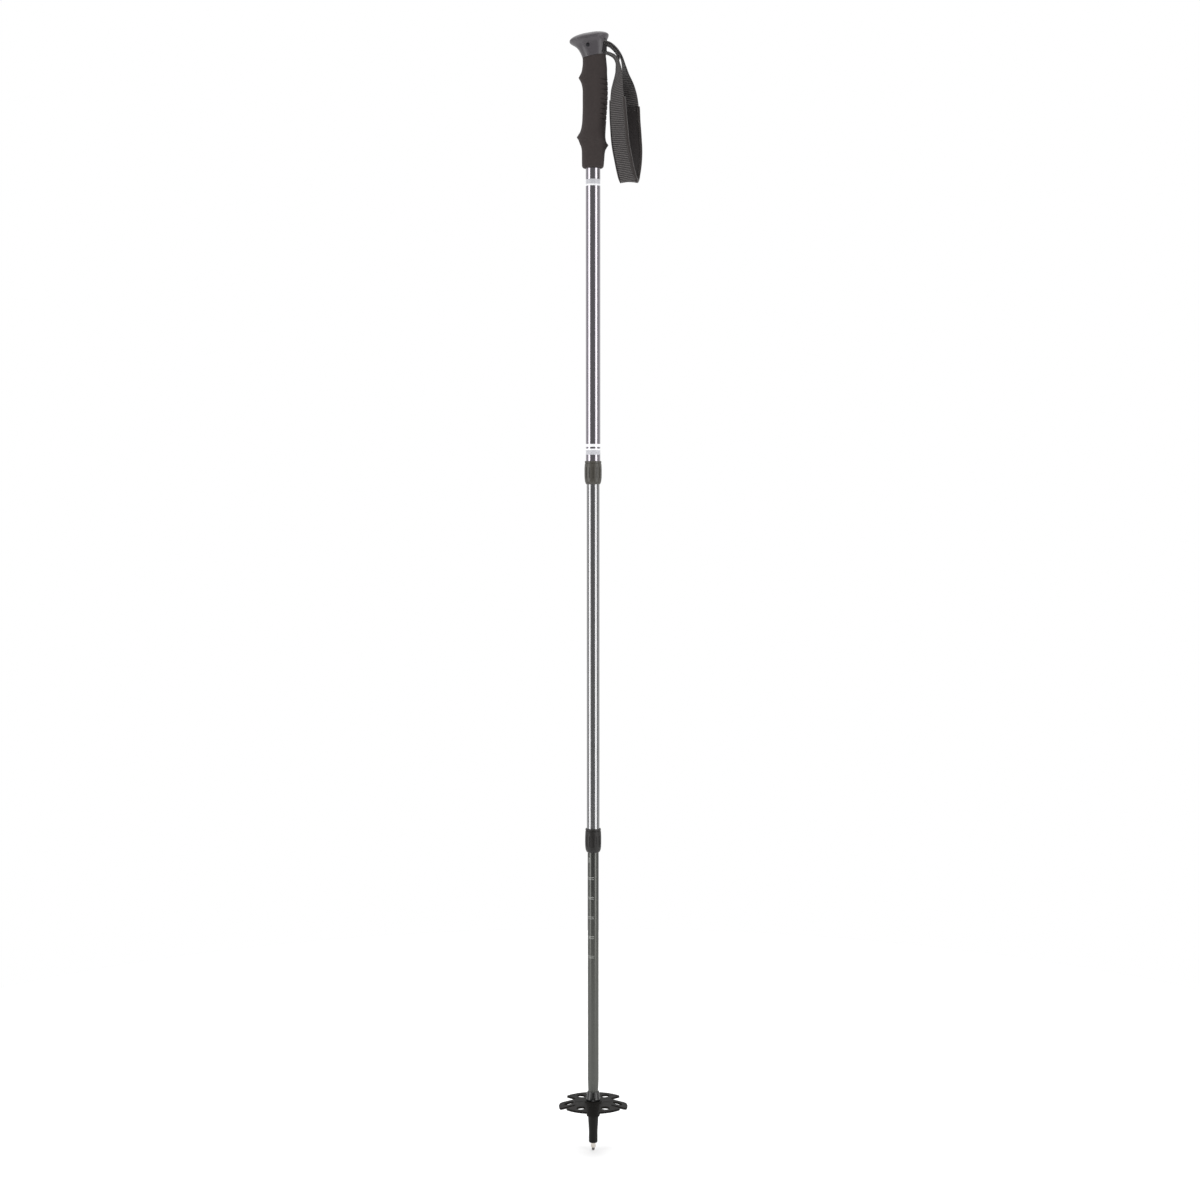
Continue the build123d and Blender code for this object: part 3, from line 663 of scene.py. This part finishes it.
def wrap_on_tube(obj, radius, angle, height, proud):
    """Bends a flat mesh in the XY plane (mm) on to the tube, facing outwards at angle."""
    shape = bmesh.new()
    shape.from_mesh(obj.data)
    low = min(v.co.x for v in shape.verts)
    high = max(v.co.x for v in shape.verts)
    for cut in np.arange(low, high, 0.5):
        bmesh.ops.bisect_plane(shape, geom=shape.verts[:] + shape.edges[:] + shape.faces[:],
                               plane_co=(cut, 0, 0), plane_no=(1, 0, 0))
    for v in shape.verts:
        turn = angle + v.co.x / radius
        reach = radius + proud * (1.0 if v.co.z > 0 else -1.0)
        v.co = Vector((reach * math.sin(turn), -reach * math.cos(turn), height + v.co.y)) * MM
    bmesh.ops.recalc_face_normals(shape, faces=shape.faces)
    shape.to_mesh(obj.data)
    shape.free()


def printed_text(name, body, size, material, turned=False):
    curve = bpy.data.curves.new(name + "_curve", "FONT")
    curve.body = body
    curve.size = size
    curve.align_x = "CENTER"
    curve.align_y = "CENTER"
    curve.resolution_u = 3
    curve.extrude = 0.05
    font = bpy.data.objects.new(name + "_font", curve)
    bpy.context.scene.collection.objects.link(font)
    bpy.context.view_layer.update()
    mesh = bpy.data.meshes.new_from_object(font)
    bpy.data.objects.remove(font)
    mesh.name = name
    if turned:
        for v in mesh.vertices:
            v.co = Vector((-v.co.y, v.co.x, v.co.z))
    mesh.materials.clear()
    mesh.materials.append(material)
    obj = bpy.data.objects.new(name, mesh)
    bpy.context.scene.collection.objects.link(obj)
    return obj


def printed_tick(name, width, height, material):
    shape = bmesh.new()
    made = bmesh.ops.create_cube(shape, size=1.0)
    for v in made["verts"]:
        v.co = Vector((v.co.x * width, v.co.y * height, v.co.z * 0.1))
    mesh = bpy.data.meshes.new(name)
    shape.to_mesh(mesh)
    shape.free()
    mesh.materials.append(material)
    obj = bpy.data.objects.new(name, mesh)
    bpy.context.scene.collection.objects.link(obj)
    return obj


def place_print(obj, angle, height):
    wrap_on_tube(obj, LOWER_RADIUS, angle, height, PRINT_PROUD)
    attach(obj, "lower_section")


def make_scale(material):
    for k, value in enumerate(range(135, 110, -5)):
        height = FIRST_MARK - k * SCALE_STEP
        label = printed_text(f"scale_{value}", f"{value}cm", 3.1, material)
        place_print(label, LABEL_ANGLE, height - LABEL_DROP)
        place_print(printed_tick(f"tick_{value}", 9.0, 0.45, material), LABEL_ANGLE, height)
    top = printed_text("scale_max", "MAX", 3.4, material, turned=True)
    place_print(top, MAX_ANGLE, COLLAR_BOTTOM - MAX_DROP)


# ------------------------------------------------------------- camera, light, floor
EYE = Vector((0.0086, -2.70, 0.87))
MIDDLE_HEIGHT = 0.700
FIELD = 31.0             # degrees


def make_camera():
    data = bpy.data.cameras.new("camera")
    data.lens_unit = "FOV"
    data.angle = math.radians(FIELD)
    camera = bpy.data.objects.new("camera", data)
    camera.location = EYE
    target = Vector((EYE.x, 0, MIDDLE_HEIGHT))
    camera.rotation_euler = (target - EYE).to_track_quat("-Z", "Y").to_euler()
    bpy.context.scene.collection.objects.link(camera)
    bpy.context.scene.camera = camera


STRIP_DISTANCE, STRIP_HEIGHT, STRIP_TALL = 2.6, 1.1, 3.2
STRIP_POWER = 46


def strip_light(name, bearing, width):
    """A tall soft box that faces the pole, at a bearing from the camera's side."""
    data = bpy.data.lights.new(name, "AREA")
    data.shape = "RECTANGLE"
    data.size = width
    data.size_y = STRIP_TALL
    data.energy = STRIP_POWER
    lamp = bpy.data.objects.new(name, data)
    turn = math.radians(bearing)
    lamp.location = (STRIP_DISTANCE * math.sin(turn), -STRIP_DISTANCE * math.cos(turn), STRIP_HEIGHT)
    aim = Vector((0, 0, STRIP_HEIGHT)) - lamp.location
    lamp.rotation_euler = aim.to_track_quat("-Z", "Y").to_euler()
    lamp.visible_camera = False
    bpy.context.scene.collection.objects.link(lamp)


FRONT_GLOW, BACK_GLOW, OVERHEAD_GLOW = 0.26, 0.85, 1.35


def make_world():
    """White behind and above the pole; darker on the camera's side, as in a studio."""
    world = bpy.data.worlds.new("studio")
    bpy.context.scene.world = world
    world.use_nodes = True
    tree = world.node_tree
    light = tree.nodes["Background"]
    seen = tree.nodes.new("ShaderNodeBackground")
    seen.inputs["Color"].default_value = (1, 1, 1, 1)
    place = tree.nodes.new("ShaderNodeTexCoord")
    split = tree.nodes.new("ShaderNodeSeparateXYZ")
    tree.links.new(place.outputs["Generated"], split.inputs[0])
    total = tree.nodes.new("ShaderNodeMath")
    for k, (axis, start, end, low, high) in enumerate((("Y", -0.3, 0.4, FRONT_GLOW, BACK_GLOW),
                                                       ("Z", 0.45, 0.85, 0.0, OVERHEAD_GLOW))):
        grade = tree.nodes.new("ShaderNodeMapRange")
        for socket, value in zip(grade.inputs[1:5], (start, end, low, high)):
            socket.default_value = value
        tree.links.new(split.outputs[axis], grade.inputs["Value"])
        tree.links.new(grade.outputs[0], total.inputs[k])
    light.inputs["Color"].default_value = (1, 1, 1, 1)
    tree.links.new(total.outputs[0], light.inputs["Strength"])
    rays = tree.nodes.new("ShaderNodeLightPath")
    mix = tree.nodes.new("ShaderNodeMixShader")
    tree.links.new(rays.outputs["Is Camera Ray"], mix.inputs[0])
    tree.links.new(light.outputs[0], mix.inputs[1])
    tree.links.new(seen.outputs[0], mix.inputs[2])
    tree.links.new(mix.outputs[0], tree.nodes["World Output"].inputs["Surface"])


FLOOR_RADIUS = 1.3
FLOOR_SIDES = 96
FLOOR_DROP = 0.0002      # below the tip, so that the two faces don't flicker


def make_floor():
    """A round white sheet of paper, wide enough for the soft shadows."""
    s = Shader("floor_paper", (0.88, 0.88, 0.88), 0.7)
    s.to_surface("Roughness", s.ramp(s.noise(s.position(), 4.0), 0.65, 0.75))
    mesh = bpy.data.meshes.new("floor")
    rim = [(FLOOR_RADIUS * math.sin(a), FLOOR_RADIUS * math.cos(a), 0)
           for a in np.linspace(0, 2 * math.pi, FLOOR_SIDES, endpoint=False)]
    mesh.from_pydata(rim, [], [tuple(range(FLOOR_SIDES))[::-1]])
    mesh.materials.append(s.material)
    floor = bpy.data.objects.new("floor", mesh)
    floor.location.z = -FLOOR_DROP
    bpy.context.scene.collection.objects.link(floor)


def make_studio():
    make_camera()
    strip_light("left_strip", -64, 1.35)
    strip_light("right_strip", 53, 1.45)
    make_world()
    make_floor()
    settings = bpy.context.scene.view_settings
    settings.view_transform = "Standard"
    settings.look = "None"


# --------------------------------------------------------------------------- build
make_studio()
materials = make_materials()
finish_cad_nodes(materials)
make_foam(materials["foam"])
make_strap(materials)
make_scale(materials["print"])
